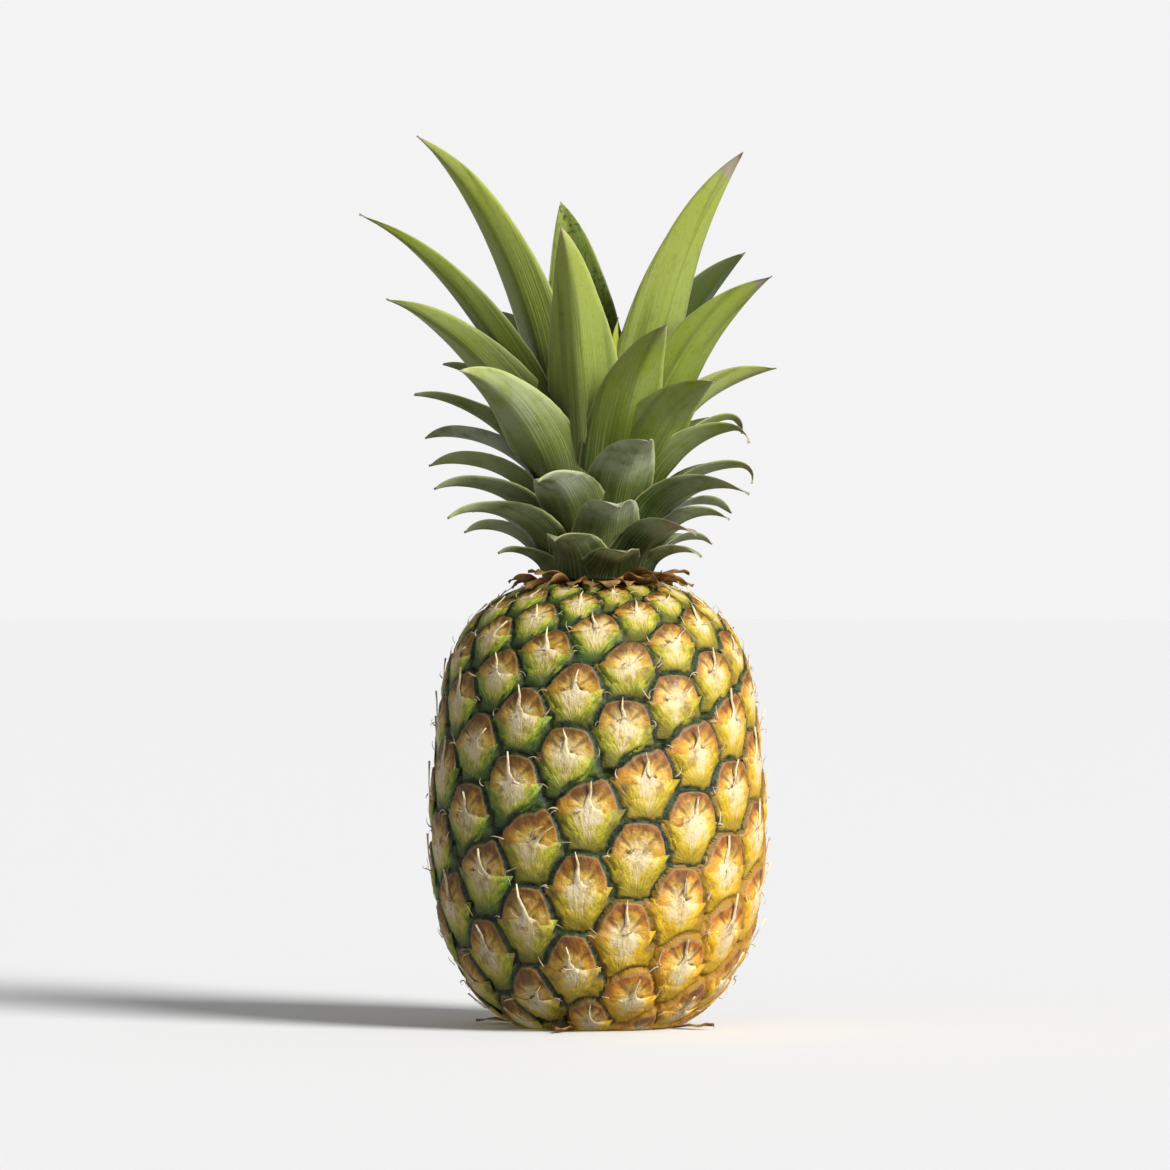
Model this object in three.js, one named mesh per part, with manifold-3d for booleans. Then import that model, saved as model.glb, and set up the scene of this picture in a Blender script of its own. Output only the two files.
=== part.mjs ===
// A whole pineapple, standing on its cut base: one fruit with its spiral of eyes, and a crown of separate leaves.
// Millimetres, +Z up. The origin is the centre of the cut stalk, which is flush with the base that it stands on.
import * as THREE from 'three';
import { mergeVertices } from 'three/addons/utils/BufferGeometryUtils.js';
import Module from 'manifold-3d';

// ---------- driving dimensions ----------

const gap = 0.35; // left between neighbouring pieces
const goldenAngle = 137.5077; // degrees of azimuth from one eye or leaf to the next

// The outline through the tops of the eyes, as radius and height, from the crown down to the base.
const rindOutline = [
  [14, 164.8], [26, 163.4], [38.5, 158], [47.5, 150], [54.5, 139], [58.4, 124], [61.3, 100],
  [63, 76], [61.4, 50], [57.2, 32], [50.5, 17.5], [42, 7.5], [33, 1.2], [22, -2.5],
];
const fruitTop = 164.4; // height of the flat that the crown sits on
const grooveDepth = 3.4; // from the top of an eye to the groove around it
const domeShare = 0.78; // how much of the way out to its groove the dome of an eye reaches
const domeDrop = 0.2; // how much of the groove's depth the dome has dropped there
const endFans = { above: 2, below: 6 }; // past the flats, where the skin of eyes closes before it is cut flat
const eyeCount = 158;
const frontEye = 92; // counted down from the crown, this eye faces the front, the -Y side
const frontEyeAzimuth = -0.8;
const frontEyeHeight = 83.3;
const eyeStep = 1.396; // at the front eye, how far each eye is below the one before, along the outline
const eyeStepGrowth = 0.0066; // and how much that grows with every eye
// Each of the eight shallow spirals has slipped a little along itself, as a share of the way to its next eye.
const spiralSlip = [0.12, 0.15, -0.28, -0.11, 0, -0.1, 0.16, 0.06];

const stalk = { radius: 12.5, length: 9, sides: 28 };

const stem = { bottom: fruitTop + gap, radius: 19, height: 50, sides: 24, rings: 9 };

// The leaves in order up the stem. The azimuth grows by about the golden angle from leaf to leaf; 0 is the
// front, and it grows towards the right. Then how far out the tip reaches, how high it is, how far the leaf
// bows up between its ends as a share of its length, and half its width.
const leaves = [
  [10, 44, 172, 0.17, 9], [150, 40, 173, 0.15, 9], [-72, 39, 175, 0.17, 8], [66, 42, 174, 0.17, 8],
  [-150, 44, 177, 0.15, 9], [-14, 46, 178, 0.2, 10.5], [112, 46, 179, 0.15, 9], [-98, 50, 183, 0.15, 9.5],
  [40, 56, 182, 0.16, 9.5], [172, 52, 183, 0.15, 10], [-60, 64, 188, 0.15, 10], [86, 49, 188, 0.15, 9.5],
  [-122, 56, 191, 0.14, 10], [8, 49, 187, 0.22, 11.5], [126, 62, 191, 0.14, 10], [-84, 61, 199, 0.14, 10.5],
  [60, 64, 197, 0.14, 10.5], [-166, 60, 198, 0.14, 10.5], [-22, 53, 195, 0.22, 12.5], [98, 62, 206, 0.15, 11],
  [-108, 66, 208, 0.13, 11], [20, 54, 214, 0.17, 12.5], [156, 66, 208, 0.13, 11.5], [-126, 80, 219, 0.12, 11.5],
  [72, 61, 221, 0.14, 11.5], [-160, 72, 222, 0.12, 12], [-92, 68, 234, 0.12, 12], [112, 61, 226, 0.14, 11.5],
  [-57, 61, 242, 0.13, 13], [45, 60, 238, 0.1, 13], [178, 78, 238, 0.1, 12.5], [-114, 63, 246, 0.11, 12],
  [92, 66, 244, 0.12, 11.5], [-82, 78.5, 269, 0.1, 12.5], [26, 56, 258, 0.1, 13], [146, 84, 262, 0.09, 12.5],
  [-150, 75, 267, 0.105, 12.5], [72, 67, 277, 0.1, 12.5], [-79, 89, 300, 0.08, 12.5], [-16, 50, 293, 0.075, 13],
  [118, 62, 288, 0.07, 12.5], [-95, 67, 330, 0.07, 13], [-168, 50, 308, 0.09, 13], [82, 54, 323, 0.075, 13],
  [-64, 12, 266, 0.03, 7], [44, 10.5, 262, 0.03, 5], [163, 9, 262, 0.03, 2.6], [-121, 5, 240, 0.01, 1.5],
];
const leafThickness = 1.5;
const leafStations = 8;
const leafRoom = { least: 0.5, perRadius: 0.64 };
const leafSeats = { lowest: 0.02, spread: 0.9 }; // shares of the stem's quarter turn, from the foot up
const leafKnee = 0.45; // how far along the straight line to its tip a leaf bows up the most
const leafTipHalfWidth = 0.35;

const collarBract = { count: 5, length: 19, halfWidth: 6.5, thickness: 1, seatHeight: 0.9, tipHeight: 3 };
const baseBract = {
  count: 4, length: 17, halfWidth: 2.6, thickness: 0.7, radius: 32, firstAzimuth: 62, azimuthStep: 93, tipHeight: 1.5,
};
const bractStations = 5;

// ---------- helpers ----------

const wasm = await Module();
wasm.setup();

const radians = (degrees) => (degrees * Math.PI) / 180;

function solidOf(geometry) {
  const bare = geometry.index ? geometry.toNonIndexed() : geometry.clone();
  bare.deleteAttribute('normal');
  bare.deleteAttribute('uv');
  const merged = mergeVertices(bare, 1e-4);
  return new wasm.Manifold(new wasm.Mesh({
    numProp: 3,
    vertProperties: merged.attributes.position.array,
    triVerts: new Uint32Array(merged.index.array),
  }));
}

function geometryOf(solid) {
  const mesh = solid.getMesh();
  const geometry = new THREE.BufferGeometry();
  geometry.setAttribute('position', new THREE.BufferAttribute(mesh.vertProperties, 3));
  geometry.setIndex(new THREE.BufferAttribute(mesh.triVerts, 1));
  return geometry;
}

function geometryFrom(points, triangles) {
  const geometry = new THREE.BufferGeometry();
  geometry.setAttribute('position', new THREE.Float32BufferAttribute(points.flatMap((p) => p.toArray()), 3));
  geometry.setIndex(triangles.flat());
  return geometry;
}

// A point at this azimuth, counted from the front (-Y) towards the right (+X).
function around(azimuth, radius, height) {
  const a = radians(azimuth);
  return new THREE.Vector3(radius * Math.sin(a), -radius * Math.cos(a), height);
}

// A repeatable value from -1 to 1 for each whole number.
function wobble(n) {
  const x = Math.sin(n * 12.9898) * 43758.5453;
  return 2 * (x - Math.floor(x)) - 1;
}

// ---------- fruit ----------

const outline = new THREE.SplineCurve(rindOutline.map(([r, z]) => new THREE.Vector2(r, z)));
outline.arcLengthDivisions = 600;
const outlineLength = outline.getLength();

// A point on the rind, sunk below the tops of the eyes.
function onRind(azimuth, arc, sunk) {
  const share = THREE.MathUtils.clamp(arc / outlineLength, 0, 1);
  const at = outline.getPointAt(share);
  const tangent = outline.getTangentAt(share);
  return around(azimuth, at.x + tangent.y * sunk, at.y - tangent.x * sunk);
}

// How far down the outline a height is.
function arcAtHeight(height) {
  let arc = 0;
  while (outline.getPointAt(arc / outlineLength).y > height) arc += 0.1;
  return arc;
}

const frontEyeArc = arcAtHeight(frontEyeHeight);

// Where eye n sits: its azimuth, and how far it is down the outline.
function eyePlace(n) {
  const slip = spiralSlip[(((n - frontEye) % 8) + 8) % 8];
  const m = n - frontEye + 8 * slip;
  const stepOfEight = 8 * goldenAngle - 3 * 360;
  return {
    azimuth: frontEyeAzimuth - (n - frontEye) * goldenAngle - slip * stepOfEight,
    arc: frontEyeArc + m * eyeStep + 0.5 * m * m * eyeStepGrowth,
  };
}

// The middle of some eyes.
function between(...eyes) {
  const places = eyes.map(eyePlace);
  const first = places[0].azimuth;
  return {
    azimuth: first + places.reduce((sum, p) => sum + nearest(p.azimuth - first), 0) / places.length,
    arc: places.reduce((sum, p) => sum + p.arc, 0) / places.length,
  };
}

// The same angle, brought between -180 and 180 degrees.
function nearest(angle) {
  return ((((angle + 180) % 360) + 360) % 360) - 180;
}

// The grooves cross where four eyes meet. The outline of eye n goes from crossing to crossing, through the
// middle of the groove between it and each neighbour: the eyes 8 and 13 before and after it in the spiral.
function eyeOutline(n) {
  return [
    [n, n + 8, n + 13, n + 21], [n, n + 8], [n - 13, n - 5, n, n + 8], [n - 13, n],
    [n - 21, n - 13, n - 8, n], [n - 8, n], [n - 8, n, n + 5, n + 13], [n, n + 13],
  ].map((eyes) => ({ key: eyes.join(), ...between(...eyes) }));
}

function fruitGeometry() {
  const points = [];
  const triangles = [];
  const shared = new Map();
  const add = (point) => points.push(point) - 1;

  for (let n = 0; n < eyeCount; n++) {
    const centre = eyePlace(n);
    const corners = eyeOutline(n);
    const outer = corners.map((c) => {
      if (!shared.has(c.key)) shared.set(c.key, add(onRind(c.azimuth, c.arc, grooveDepth)));
      return shared.get(c.key);
    });
    const turn = (a) => centre.azimuth + nearest(a - centre.azimuth);
    const inner = corners.map((c) => add(onRind(
      THREE.MathUtils.lerp(centre.azimuth, turn(c.azimuth), domeShare),
      THREE.MathUtils.lerp(centre.arc, c.arc, domeShare),
      domeDrop * grooveDepth,
    )));
    const middle = add(onRind(centre.azimuth, centre.arc, 0));
    for (let k = 0; k < 8; k++) {
      const next = (k + 1) % 8;
      triangles.push([outer[k], inner[k], outer[next]], [outer[next], inner[k], inner[next]]);
      triangles.push([inner[k], middle, inner[next]]);
    }
  }
  closeEnds(points, triangles);
  return geometryFrom(points, triangles);
}

// Closes the band of eyes with a fan at each end, above the crown's seat and below the base.
function closeEnds(points, triangles) {
  const edges = new Set(triangles.flatMap(([a, b, c]) => [`${a},${b}`, `${b},${c}`, `${c},${a}`]));
  const open = [...edges].map((e) => e.split(',').map(Number)).filter(([a, b]) => !edges.has(`${b},${a}`));
  const top = points.push(new THREE.Vector3(0, 0, fruitTop + endFans.above)) - 1;
  const bottom = points.push(new THREE.Vector3(0, 0, -endFans.below)) - 1;
  for (const [a, b] of open) {
    const end = points[a].z > fruitTop / 2 ? top : bottom;
    triangles.push([b, a, end]);
  }
}

function fruitSolid() {
  const slab = new THREE.BoxGeometry(200, 200, fruitTop).translate(0, 0, fruitTop / 2);
  const socketRadius = stalk.radius + gap;
  const socket = new THREE.CylinderGeometry(socketRadius, socketRadius, stalk.length + gap + 1, stalk.sides)
    .rotateX(Math.PI / 2)
    .translate(0, 0, (stalk.length + gap - 1) / 2);
  return solidOf(fruitGeometry()).intersect(solidOf(slab)).subtract(solidOf(socket));
}

// ---------- stalk and crown stem ----------

function stalkGeometry() {
  const { radius, length } = stalk;
  const profile = [[0, 0], [radius, 0], [radius, length * 0.7], [radius * 0.85, length], [0, length]];
  return new THREE.LatheGeometry(profile.map(([r, z]) => new THREE.Vector2(r, z)), stalk.sides)
    .rotateX(Math.PI / 2);
}

// The stem is a tall dome. Its surface at a share of its quarter turn, from the foot to the growing point.
function onStem(share) {
  const turn = share * Math.PI / 2;
  return { r: stem.radius * Math.cos(turn), z: stem.bottom + stem.height * Math.sin(turn) };
}

function stemGeometry() {
  const profile = [new THREE.Vector2(0, stem.bottom)];
  for (let i = 0; i < stem.rings; i++) {
    const { r, z } = onStem(i / stem.rings);
    profile.push(new THREE.Vector2(r, z));
  }
  profile.push(new THREE.Vector2(0, stem.bottom + stem.height));
  return new THREE.LatheGeometry(profile, stem.sides).rotateX(Math.PI / 2);
}

// ---------- leaves ----------

// How a leaf's half-width runs from its base, share 0, to its tip, share 1.
function leafWidthShare(share) {
  return (0.86 + 0.14 * Math.sin(Math.PI * Math.min(share / 0.6, 1))) * Math.pow(1 - Math.pow(share, 2.1), 0.85);
}

// The measures of leaf i, counted from the lowest.
function leafMeasures(i) {
  const [azimuth, reach, height, bow, halfWidth] = leaves[i];
  const age = i / (leaves.length - 1);
  return {
    azimuth,
    seat: onStem(leafSeats.lowest + leafSeats.spread * age),
    tip: { r: reach, z: height },
    bow,
    halfWidth,
    channel: 0.16 + 0.1 * age,
    drift: 0.03 * wobble(i + 100),
    thickness: leafThickness,
    stations: leafStations,
  };
}

// The line down the middle of a leaf, in the upright plane through the crown's axis.
function leafSpine({ seat, tip, bow, thickness }) {
  const start = new THREE.Vector2(seat.r + gap + 0.6 * thickness, seat.z);
  const end = new THREE.Vector2(tip.r, tip.z);
  const chord = end.clone().sub(start);
  const square = new THREE.Vector2(-chord.y, chord.x);
  const knee = start.clone().addScaledVector(chord, leafKnee).addScaledVector(square, 2 * bow);
  const curve = new THREE.QuadraticBezierCurve(start, knee, end);
  const length = curve.getLength();
  const at = (share) => {
    const point = curve.getPointAt(share);
    const tangent = curve.getTangentAt(share);
    return { r: point.x, z: point.y, slope: Math.atan2(tangent.y, tangent.x) };
  };
  return { at, length };
}

// A closed blade: a lens-shaped section that is channelled along the leaf and clasps the stem at its base.
function bladeGeometry(leaf) {
  const spine = leafSpine(leaf);
  const across = [-1, -0.55, 0, 0.55, 1];
  const upper = [];
  const under = [];
  for (let j = 0; j < leaf.stations; j++) {
    const share = 1 - Math.pow(1 - j / (leaf.stations - 1), 1.15);
    const at = spine.at(share);
    const room = leafRoom.least + leafRoom.perRadius * at.r; // neighbours leave less room close to the axis
    const half = Math.max(Math.min(leaf.halfWidth * leafWidthShare(share), room), leafTipHalfWidth);
    const azimuth = leaf.azimuth;
    const out = around(azimuth, 1, 0);
    const side = around(azimuth + 90, 1, 0);
    const up = new THREE.Vector3(0, 0, Math.cos(at.slope)).addScaledVector(out, -Math.sin(at.slope));
    const sideways = leaf.drift * spine.length * share * share;
    for (const u of across) {
      const lateral = u * half;
      const clasp = (Math.sin(Math.max(at.slope, 0)) * lateral * lateral) / (2 * Math.max(at.r, 4));
      const channel = leaf.channel * half * Math.pow(Math.abs(u), 1.5) * Math.min(share * 3, 1);
      const middle = around(azimuth, at.r, at.z)
        .addScaledVector(side, lateral * (1 - 0.1 * clasp / half) + sideways)
        .addScaledVector(up, clasp + channel);
      const thick = leaf.thickness * (1 - 0.6 * share) * (1 - 0.7 * u * u);
      upper.push(middle.clone().addScaledVector(up, thick / 2));
      under.push(middle.clone().addScaledVector(up, -thick / 2));
    }
  }
  return closedSheet(upper, under, across.length, leaf.stations);
}

// Joins an upper and an under grid of points, both rows by columns, into one closed shell.
function closedSheet(upper, under, columns, rows) {
  const points = [...upper, ...under];
  const top = (j, k) => j * columns + k;
  const low = (j, k) => upper.length + j * columns + k;
  const triangles = [];
  const quad = (a, b, c, d) => triangles.push([a, b, c], [a, c, d]);
  for (let j = 0; j + 1 < rows; j++) {
    for (let k = 0; k + 1 < columns; k++) {
      quad(top(j, k), top(j + 1, k), top(j + 1, k + 1), top(j, k + 1));
      quad(low(j, k), low(j, k + 1), low(j + 1, k + 1), low(j + 1, k));
    }
    quad(top(j, 0), low(j, 0), low(j + 1, 0), top(j + 1, 0));
    quad(top(j, columns - 1), top(j + 1, columns - 1), low(j + 1, columns - 1), low(j, columns - 1));
  }
  for (let k = 0; k + 1 < columns; k++) {
    quad(top(0, k), top(0, k + 1), low(0, k + 1), low(0, k));
    quad(top(rows - 1, k), low(rows - 1, k), low(rows - 1, k + 1), top(rows - 1, k + 1));
  }
  return geometryFrom(points, triangles);
}

// ---------- bracts ----------

// Dry bracts between the fruit and the lowest leaves, lying out over the shoulder.
function collarBractMeasures(i) {
  return {
    azimuth: leaves[0][0] - (i + 1) * goldenAngle,
    seat: { r: stem.radius, z: stem.bottom + collarBract.seatHeight },
    tip: { r: stem.radius + collarBract.length, z: stem.bottom + collarBract.tipHeight },
    bow: 0,
    halfWidth: collarBract.halfWidth,
    channel: 0.05,
    drift: 0,
    thickness: collarBract.thickness,
    stations: bractStations,
  };
}

// Thin dry bracts that lie on the surface, tucked under the lowest eyes.
function baseBractMeasures(i) {
  return {
    azimuth: baseBract.firstAzimuth + i * baseBract.azimuthStep,
    seat: { r: baseBract.radius, z: 0.5 * baseBract.thickness },
    tip: { r: baseBract.radius + baseBract.length, z: baseBract.tipHeight },
    bow: 0,
    halfWidth: baseBract.halfWidth,
    channel: 0,
    drift: 0.1,
    thickness: baseBract.thickness,
    stations: bractStations,
  };
}

// ---------- materials and assembly ----------

function material(colour, roughness) {
  return new THREE.MeshStandardMaterial({ color: colour, roughness, metalness: 0 });
}

const materials = {
  rind: material(0xb9912f, 0.55),
  cutStalk: material(0xcdbb86, 0.85),
  stem: material(0xa9b06a, 0.7),
  outerLeaf: material(0x55703f, 0.5),
  innerLeaf: material(0x7f9a3a, 0.42),
  dryBract: material(0x9a6a34, 0.85),
};

function piece(name, geometry, finish) {
  const mesh = new THREE.Mesh(geometry, finish);
  mesh.name = name;
  return mesh;
}

const two = (n) => String(n).padStart(2, '0');

const pineapple = new THREE.Group();
pineapple.add(piece('fruit', geometryOf(fruitSolid()), materials.rind));
pineapple.add(piece('stalk_end', stalkGeometry(), materials.cutStalk));
for (let i = 0; i < baseBract.count; i++) {
  pineapple.add(piece(`base_bract_${i + 1}`, bladeGeometry(baseBractMeasures(i)), materials.dryBract));
}

pineapple.add(piece('crown_stem', stemGeometry(), materials.stem));
for (let i = 0; i < collarBract.count; i++) {
  pineapple.add(piece(`collar_bract_${i + 1}`, bladeGeometry(collarBractMeasures(i)), materials.dryBract));
}
for (let i = 0; i < leaves.length; i++) {
  const finish = i < leaves.length / 2 ? materials.outerLeaf : materials.innerLeaf;
  pineapple.add(piece(`leaf_${two(i + 1)}`, bladeGeometry(leafMeasures(i)), finish));
}

export default pineapple;
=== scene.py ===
import math

import bmesh
import bpy
import numpy as np
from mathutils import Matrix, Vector


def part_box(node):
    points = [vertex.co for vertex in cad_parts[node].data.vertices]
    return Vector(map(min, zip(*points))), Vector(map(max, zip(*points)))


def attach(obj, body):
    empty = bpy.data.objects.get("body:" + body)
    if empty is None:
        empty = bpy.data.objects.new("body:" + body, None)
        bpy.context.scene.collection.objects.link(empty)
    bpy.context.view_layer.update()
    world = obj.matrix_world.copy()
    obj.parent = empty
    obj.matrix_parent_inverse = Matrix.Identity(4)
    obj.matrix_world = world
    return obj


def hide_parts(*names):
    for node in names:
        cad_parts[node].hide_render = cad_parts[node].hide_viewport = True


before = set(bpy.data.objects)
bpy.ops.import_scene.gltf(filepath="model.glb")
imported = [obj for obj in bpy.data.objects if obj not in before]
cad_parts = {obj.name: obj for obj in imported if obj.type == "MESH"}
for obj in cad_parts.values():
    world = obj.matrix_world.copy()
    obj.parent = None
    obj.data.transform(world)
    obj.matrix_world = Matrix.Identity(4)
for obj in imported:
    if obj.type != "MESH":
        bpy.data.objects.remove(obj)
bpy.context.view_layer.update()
mm = 0.001
goldenAngle = 137.5077  # degrees from one eye or leaf to the next


def around(azimuth, radius, height):
    # azimuth 0 is the front (-Y), and it grows towards the right (+X)
    turn = math.radians(azimuth)
    return Vector((radius * math.sin(turn), -radius * math.cos(turn), height))


def smooth(value, low, high):
    share = np.clip((value - low) / (high - low), 0, 1)
    return share * share * (3 - 2 * share)


def finishPiece(bm, name, materials, replaced=()):
    bmesh.ops.recalc_face_normals(bm, faces=bm.faces[:])
    mesh = bpy.data.meshes.new(name)
    bm.to_mesh(mesh)
    bm.free()
    for material in materials:
        mesh.materials.append(material)
    mesh.shade_smooth()
    piece = bpy.data.objects.new(name, mesh)
    bpy.context.scene.collection.objects.link(piece)
    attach(piece, "root")
    if replaced:
        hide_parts(*replaced)
    return piece


def newMaterial(name):
    material = bpy.data.materials.new(name)
    material.use_nodes = True
    tree = material.node_tree
    return material, tree, tree.nodes["Principled BSDF"]


def setInputs(tree, node, inputs):
    for key, value in inputs.items():
        if isinstance(value, bpy.types.NodeSocket):
            tree.links.new(value, node.inputs[key])
        else:
            node.inputs[key].default_value = value


def addNode(tree, kind, inputs={}, **settings):
    node = tree.nodes.new(kind)
    for key, value in settings.items():
        setattr(node, key, value)
    setInputs(tree, node, inputs)
    return node


def calculate(tree, operation, first, second=0.5):
    return addNode(tree, "ShaderNodeMath", {0: first, 1: second}, operation=operation).outputs[0]


def plus(tree, first, second):
    return calculate(tree, "ADD", first, second)


def minus(tree, first, second):
    return calculate(tree, "SUBTRACT", first, second)


def times(tree, first, second):
    return calculate(tree, "MULTIPLY", first, second)


def absolute(tree, value):
    return calculate(tree, "ABSOLUTE", value)


def centred(tree, value, strength):
    # a noise that runs from 0 to 1, moved to run evenly below and above 0
    return times(tree, minus(tree, value, 0.5), strength)


def remap(tree, value, low, high, toLow=0.0, toHigh=1.0, kind="SMOOTHSTEP"):
    inputs = {"Value": value, "From Min": low, "From Max": high, "To Min": toLow, "To Max": toHigh}
    return addNode(tree, "ShaderNodeMapRange", inputs, interpolation_type=kind).outputs[0]


def noise(tree, vector, scale, detail=3.0, roughness=0.55):
    inputs = {"Vector": vector, "Scale": scale, "Detail": detail, "Roughness": roughness}
    return addNode(tree, "ShaderNodeTexNoise", inputs).outputs["Fac"]


def ramp(tree, value, stops):
    node = addNode(tree, "ShaderNodeValToRGB", {"Fac": value})
    elements = node.color_ramp.elements
    while len(elements) < len(stops):
        elements.new(0.5)
    for element, (position, colour) in zip(elements, stops):
        element.position = position
        element.color = (*colour, 1)
    return node.outputs["Color"]


def mix(tree, share, first, second, blend="MIX"):
    node = addNode(tree, "ShaderNodeMix", data_type="RGBA", blend_type=blend)
    for key, kind, value in (("Factor", "VALUE", share), ("A", "RGBA", first), ("B", "RGBA", second)):
        socket = [s for s in node.inputs if s.name == key and s.type == kind][0]
        if isinstance(value, bpy.types.NodeSocket):
            tree.links.new(value, socket)
        else:
            socket.default_value = value if key == "Factor" else (*value, 1)
    return [s for s in node.outputs if s.type == "RGBA"][0]


def mixValue(tree, share, first, second):
    return addNode(tree, "ShaderNodeMix", {0: share, 2: first, 3: second}, data_type="FLOAT").outputs[0]


def attribute(tree, name):
    return addNode(tree, "ShaderNodeAttribute", attribute_name=name).outputs["Fac"]


def patternPlace(tree, layer):
    uv = addNode(tree, "ShaderNodeUVMap", uv_map=layer).outputs[0]
    parts = addNode(tree, "ShaderNodeSeparateXYZ", {0: uv}).outputs
    return parts["X"], parts["Y"], uv


def objectPlace(tree):
    return addNode(tree, "ShaderNodeTexCoord").outputs["Object"]


def stretched(tree, vector, scale):
    return addNode(tree, "ShaderNodeMapping", {"Vector": vector, "Scale": scale}).outputs[0]


def bump(tree, height, distance, strength):
    inputs = {"Height": height, "Distance": distance, "Strength": strength}
    return addNode(tree, "ShaderNodeBump", inputs).outputs[0]


rind = {
    # radius and height in mm, through the tops of the eyes, from the crown down to the base
    "outline": [(14, 164.8), (26, 163.4), (38.5, 158), (47.5, 150), (54.5, 139), (58.4, 124), (61.3, 100),
                (63, 76), (61.4, 50), (57.2, 32), (50.5, 17.5), (42, 7.5), (33, 1.2), (22, -2.5)],
    "eyes": 158,
    "frontEye": 92,
    "frontAzimuth": -0.8,
    "frontHeight": 83.3,
    "step": 1.396,
    "stepGrowth": 0.0066,
    "slips": [0.12, 0.15, -0.28, -0.11, 0, -0.1, 0.16, 0.06],
    "columns": 372,
    "rows": 246,
    "outlineSteps": 60,  # between two points of the outline
    "flatHeight": 0.4,  # where the rind meets the flat underside
    "middleHeight": 82,
    "widest": 63,
    "leastRadius": 12,  # nearer the middle, the eyes' pattern stops narrowing
    "grooveDepth": 3.0,
}


def splineThrough(points, steps):
    # the same uniform spline as the solid's outline
    points = np.array(points, float)
    last = len(points) - 1
    found = []
    for i in range(last):
        a, b, c, d = points[max(i - 1, 0)], points[i], points[i + 1], points[min(i + 2, last)]
        t = np.linspace(0, 1, steps, endpoint=False)[:, None]
        v0, v1 = (c - a) / 2, (d - b) / 2
        found.append((2 * b - 2 * c + v0 + v1) * t**3 + (-3 * b + 3 * c - 2 * v0 - v1) * t**2 + v0 * t + b)
    return np.vstack(found + [points[-1:]])


# the outline by its length in mm: radius and height, and the outward normal
outlinePoints = splineThrough(rind["outline"], rind["outlineSteps"])
outlineArcs = np.concatenate([[0], np.cumsum(np.hypot(*np.diff(outlinePoints, axis=0).T))])
tangents = np.gradient(outlinePoints, outlineArcs, axis=0)
tangents /= np.hypot(*tangents.T)[:, None]
outlineNormals = np.stack([-tangents[:, 1], tangents[:, 0]], axis=1)


def outlineAt(arc):
    return [np.interp(arc, outlineArcs, column) for column in (*outlinePoints.T, *outlineNormals.T)]


def arcAtHeight(height):
    return float(np.interp(-height, -outlinePoints[:, 1], outlineArcs))


frontArc = arcAtHeight(rind["frontHeight"])
baseArc = arcAtHeight(rind["flatHeight"])


def eyePlaces():
    number = np.arange(rind["eyes"])
    slip = np.array(rind["slips"])[(number - rind["frontEye"]) % 8]
    m = number - rind["frontEye"] + 8 * slip
    azimuth = rind["frontAzimuth"] - (number - rind["frontEye"]) * goldenAngle
    azimuth -= slip * (8 * goldenAngle - 3 * 360)  # eight eyes on, the spiral is three turns round
    arc = frontArc + m * rind["step"] + 0.5 * m * m * rind["stepGrowth"]
    radius = outlineAt(arc)[0]
    across = radius / rind["widest"]
    along = (rind["step"] + m * rind["stepGrowth"]) / rind["step"]
    size = np.sqrt(across * along)
    squash = (across / along) ** 0.3
    return (azimuth + 180) % 360 - 180, arc, size * squash, size / squash


eyeAzimuth, eyeArc, eyeAcross, eyeAlong = eyePlaces()
eyeSeed = np.random.default_rng(7).random(rind["eyes"])

eye = {
    # mm at the widest part of the fruit, measured from the middle of the eye
    "discRadius": 11.7,
    "discRise": 0.3,
    "wingLine": 1.2,
    "wingReach": 14.6,
    "bractDrop": 16.5,
    "bractFoot": 10.5,
    "margin": 0.6,  # how far past its outline an eye still reaches
    "creaseAngle": 0.85,  # from straight up to the creases between the lobes, in radians
    "lowSlope": 0.1,  # how slowly its hold grows inwards below the wings, where lower discs overlap it
}


def eyeInside(u, v):
    # how far a point is inside an eye's disc or its bract, in mm
    disc = eye["discRadius"] + eye["margin"] - np.hypot(u, v - eye["discRise"])
    top, reach, foot, drop = eye["wingLine"], eye["wingReach"], eye["bractFoot"], eye["bractDrop"]
    slope = np.hypot(top + drop, reach - foot)
    side = ((reach - np.abs(u)) * (top + drop) - (top - v) * (reach - foot)) / slope
    bract = np.minimum(np.minimum(top - v, v + drop), side)
    inside = np.maximum(disc, bract)
    slow = np.where(inside > 1, 1 + eye["lowSlope"] * (inside - 1), inside)
    return slow + (inside - slow) * smooth(v, -3, 0.5)


def surveyRind(azimuth, arc, batch=6000):
    # for each point: its eye, its place in that eye, and how far it is from the groove
    radius = np.maximum(outlineAt(arc)[0], rind["leastRadius"])
    best = {key: np.zeros(len(arc)) for key in ("eye", "u", "v", "inside")}
    for start in range(0, len(arc), batch):
        part = slice(start, start + batch)
        turn = (azimuth[part, None] - eyeAzimuth[None] + 180) % 360 - 180
        u = np.radians(turn) * radius[part, None] / eyeAcross[None]
        v = (eyeArc[None] - arc[part, None]) / eyeAlong[None]
        inside = eyeInside(u, v)
        order = np.argsort(-inside, axis=1)[:, :2]
        rows = np.arange(len(order))
        first, second = inside[rows, order[:, 0]], inside[rows, order[:, 1]]
        best["eye"][part] = order[:, 0]
        best["u"][part] = u[rows, order[:, 0]]
        best["v"][part] = v[rows, order[:, 0]]
        best["inside"][part] = np.minimum(first + eye["margin"], 0.6 * (first - second))
    return best


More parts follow.
